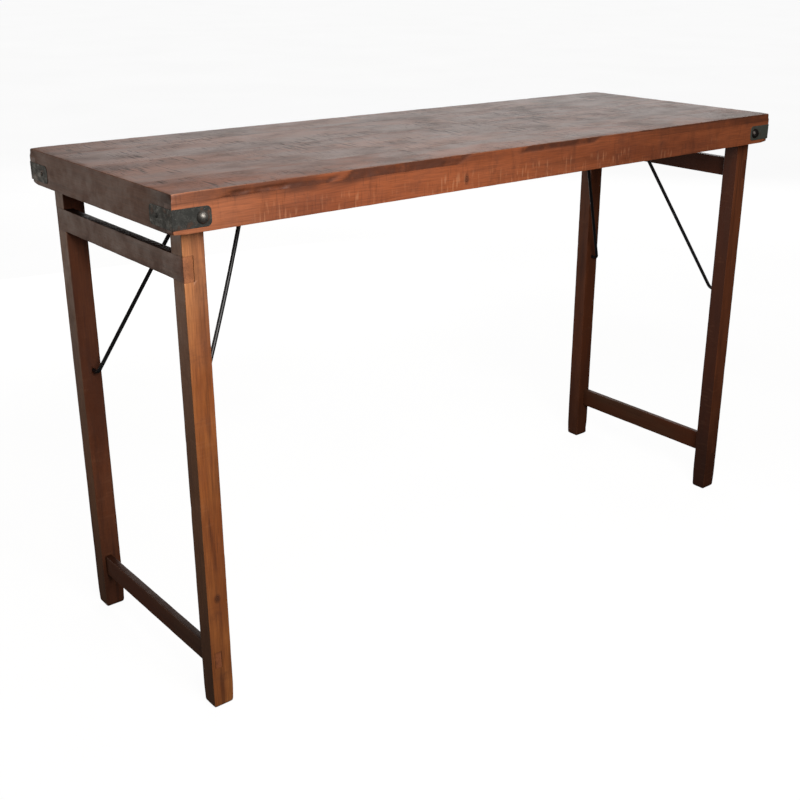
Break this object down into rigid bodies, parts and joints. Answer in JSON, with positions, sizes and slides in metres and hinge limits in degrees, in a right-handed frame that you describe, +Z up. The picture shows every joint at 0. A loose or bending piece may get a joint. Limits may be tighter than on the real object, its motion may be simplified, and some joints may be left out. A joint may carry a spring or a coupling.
{
  "type": "folding bar table",
  "caption": "Folding bar-height table: lengthwise boards on a shallow apron box with iron corner straps, and leg frames that fold inward on bolts, each braced by a bent rod.",
  "frame": {"origin": "on the floor below the middle of the table top", "axes": "+X along the table to its right end, +Y to its back, +Z up"},
  "size_m": [1.7108, 0.6218, 1.06],
  "materials": {
    "board_wood": "weathered, worn satin",
    "apron_wood": "worn satin",
    "end_wood": "weathered, dull",
    "leg_wood": "worn satin",
    "rail_wood": "weathered, dull",
    "batten_wood": "rough sawn",
    "strap_iron": "dark, scuffed",
    "bolt_steel": "worn",
    "stay_rod": "black satin"
  },
  "bodies": {
    "table_top": {"top_board_1": "board_wood", "top_board_2": "board_wood", "top_board_3": "board_wood", "top_board_4": "board_wood", "front_apron": "apron_wood", "back_apron": "apron_wood", "left_end_apron": "end_wood", "right_end_apron": "end_wood", "front_left_strap": "strap_iron", "front_left_strap_nail": "strap_iron", "front_left_pivot_bolt": "bolt_steel", "front_left_pivot_spacer": "strap_iron", "front_left_pivot_washer": "bolt_steel", "front_left_pivot_nut": "bolt_steel", "front_right_strap": "strap_iron", "front_right_strap_nail": "strap_iron", "front_right_pivot_bolt": "bolt_steel", "front_right_pivot_spacer": "strap_iron", "front_right_pivot_washer": "bolt_steel", "front_right_pivot_nut": "bolt_steel", "back_left_strap": "strap_iron", "back_left_strap_nail": "strap_iron", "back_left_pivot_bolt": "bolt_steel", "back_left_pivot_spacer": "strap_iron", "back_left_pivot_washer": "bolt_steel", "back_left_pivot_nut": "bolt_steel", "back_right_strap": "strap_iron", "back_right_strap_nail": "strap_iron", "back_right_pivot_bolt": "bolt_steel", "back_right_pivot_spacer": "strap_iron", "back_right_pivot_washer": "bolt_steel", "back_right_pivot_nut": "bolt_steel", "middle_batten": "batten_wood", "middle_batten_front_screw": "bolt_steel", "middle_batten_back_screw": "bolt_steel", "left_catch_batten": "batten_wood", "left_catch_batten_front_screw": "bolt_steel", "left_catch_batten_back_screw": "bolt_steel", "right_catch_batten": "batten_wood", "right_catch_batten_front_screw": "bolt_steel", "right_catch_batten_back_screw": "bolt_steel", "front_left_hook": "strap_iron", "front_right_hook": "strap_iron", "back_left_hook": "strap_iron", "back_right_hook": "strap_iron"},
    "left_leg_frame": {"front_left_leg": "leg_wood", "back_left_leg": "leg_wood", "left_upper_rail": "rail_wood", "left_stretcher": "rail_wood"},
    "right_leg_frame": {"front_right_leg": "leg_wood", "back_right_leg": "leg_wood", "right_upper_rail": "rail_wood", "right_stretcher": "rail_wood"},
    "left_stay": {"left_stay": "stay_rod"},
    "right_stay": {"right_stay": "stay_rod"}
  },
  "joints": [
    {"name": "left_frame_fold", "type": "hinge", "parent": "table_top", "child": "left_leg_frame", "pos_m": [-0.7925, 0, 1.0145], "axis": [0, -1, 0], "range_deg": [0, 90]},
    {"name": "right_frame_fold", "type": "hinge", "parent": "table_top", "child": "right_leg_frame", "pos_m": [0.7925, 0, 1.0145], "axis": [0, 1, 0], "range_deg": [0, 85]},
    {"name": "left_stay_turn", "type": "hinge", "parent": "left_leg_frame", "child": "left_stay", "pos_m": [-0.7925, 0, 0.585], "axis": [0, 1, 0], "range_deg": [0, 152.33]},
    {"name": "right_stay_turn", "type": "hinge", "parent": "right_leg_frame", "child": "right_stay", "pos_m": [0.7975, 0, 0.585], "axis": [0, -1, 0], "range_deg": [0, 151.81]}
  ],
  "couplings": [
    {"joint": "left_stay_turn", "follows": "left_frame_fold", "ratio": 1.6925},
    {"joint": "right_stay_turn", "follows": "right_frame_fold", "ratio": 1.7859}
  ]
}
